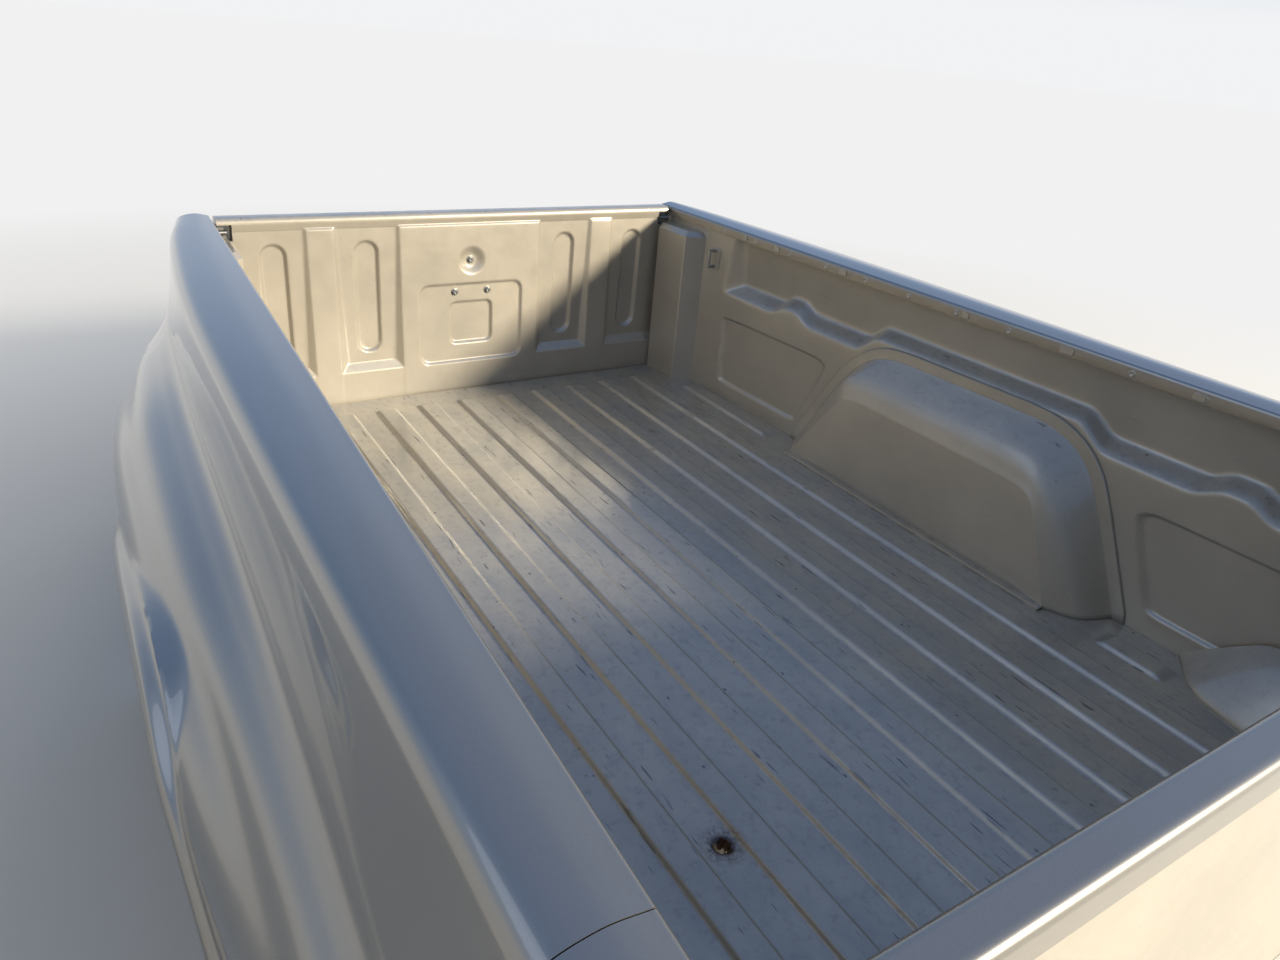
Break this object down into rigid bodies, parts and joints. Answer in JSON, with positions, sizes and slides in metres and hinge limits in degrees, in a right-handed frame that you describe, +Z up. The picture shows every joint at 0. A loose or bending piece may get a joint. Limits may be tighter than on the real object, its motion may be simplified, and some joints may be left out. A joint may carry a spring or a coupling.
{
  "type": "pickup truck cargo box",
  "caption": "Steel cargo box of a compact pickup with ribbed floor, wheelhouses, double walls, drop tailgate and fuel door; bolts to the frame.",
  "frame": {"origin": "centre of the frame bolt pattern, on the underside of the cross sills", "axes": "+X forward towards the cab, +Y to the driver's side (left), +Z up"},
  "size_m": [1.937, 1.7146, 0.667],
  "materials": {
    "body_paint": "metallic clear coat",
    "bed_paint": "satin metallic paint, worn",
    "zinc_steel": "dull zinc",
    "red_lens": "clear red",
    "black_plastic": "textured"
  },
  "bodies": {
    "box": {"corner_cap_left": "body_paint", "corner_cap_right": "body_paint", "cross_sill_1": "bed_paint", "cross_sill_2": "bed_paint", "cross_sill_3": "bed_paint", "cross_sill_4": "bed_paint", "cross_sill_5": "bed_paint", "filler_cap": "black_plastic", "filler_cover": "bed_paint", "filler_neck": "zinc_steel", "floor_panel": "bed_paint", "fuel_hinge_pin": "zinc_steel", "header_cap": "body_paint", "header_panel": "bed_paint", "hinge_cup_left": "zinc_steel", "hinge_cup_right": "zinc_steel", "rear_post_left": "bed_paint", "rear_post_right": "bed_paint", "side_inner_left": "bed_paint", "side_inner_right": "bed_paint", "side_outer_left": "body_paint", "side_outer_right": "body_paint", "striker_left": "zinc_steel", "striker_right": "zinc_steel", "tail_lamp_left": "red_lens", "tail_lamp_right": "red_lens", "tie_down_left": "zinc_steel", "tie_down_right": "zinc_steel", "wheelhouse_left": "bed_paint", "wheelhouse_right": "bed_paint"},
    "tailgate": {"handle_bezel": "black_plastic", "hinge_pin_left": "zinc_steel", "hinge_pin_right": "zinc_steel", "latch_left": "zinc_steel", "latch_right": "zinc_steel", "tailgate": "body_paint", "tailgate_handle": "black_plastic"},
    "fuel_door": {"fuel_door": "body_paint"}
  },
  "joints": [
    {"name": "tailgate_hinge", "type": "hinge", "parent": "box", "child": "tailgate", "pos_m": [-0.965, 0, 0.038], "axis": [0, -1, 0], "range_deg": [0, 90]},
    {"name": "fuel_door_hinge", "type": "hinge", "parent": "box", "child": "fuel_door", "pos_m": [0.7495, 0.78596, 0.06], "axis": [0, 0, -1], "range_deg": [0, 90]}
  ]
}
